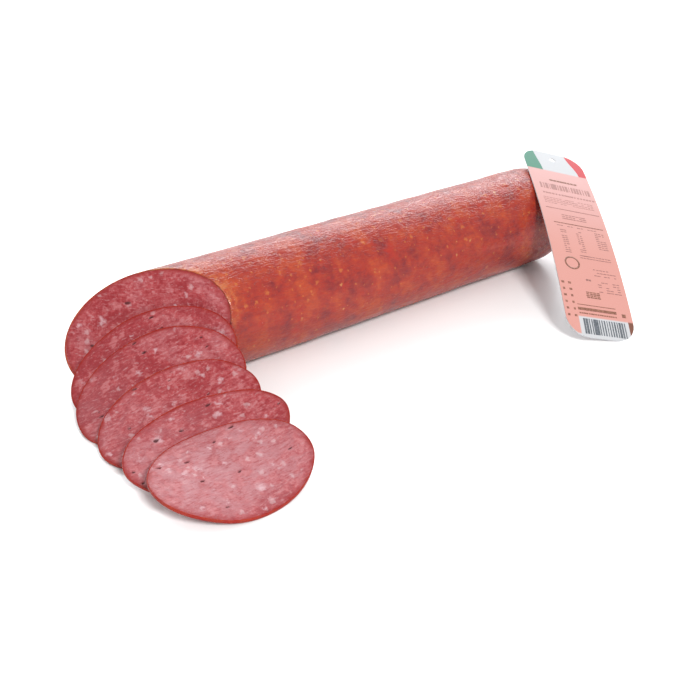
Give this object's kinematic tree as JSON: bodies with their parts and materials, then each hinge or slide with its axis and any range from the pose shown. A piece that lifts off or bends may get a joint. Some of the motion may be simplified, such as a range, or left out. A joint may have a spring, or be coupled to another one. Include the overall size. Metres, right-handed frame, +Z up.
{
  "type": "cured sausage",
  "caption": "Cured sausage log in a glossy red casing, cut on a slant with thin oval slices fanned out in front, a crimped metal clip on the closed end and a long card tag leaning on it.",
  "frame": {"origin": "middle of the narrow flat under the log, on the surface it rests on, half way between the middle of the cut face and the tip of the domed end", "axes": "+Z up, +X along the log from the cut end to the clipped end; the slices and the tag lie towards -Y"},
  "size_m": [0.3923, 0.1709, 0.0722],
  "materials": {
    "meat": "moist, ground texture",
    "casing": "glossy, thin and slightly wrinkled",
    "clip": "satin",
    "card": "coated card"
  },
  "bodies": {
    "root": {"log_meat": "meat", "log_casing": "casing", "end_clip": "clip", "hang_tag": "card", "slice_1_meat": "meat", "slice_1_casing": "casing", "slice_2_meat": "meat", "slice_2_casing": "casing", "slice_3_meat": "meat", "slice_3_casing": "casing", "slice_4_meat": "meat", "slice_4_casing": "casing", "slice_5_meat": "meat", "slice_5_casing": "casing"}
  },
  "joints": []
}
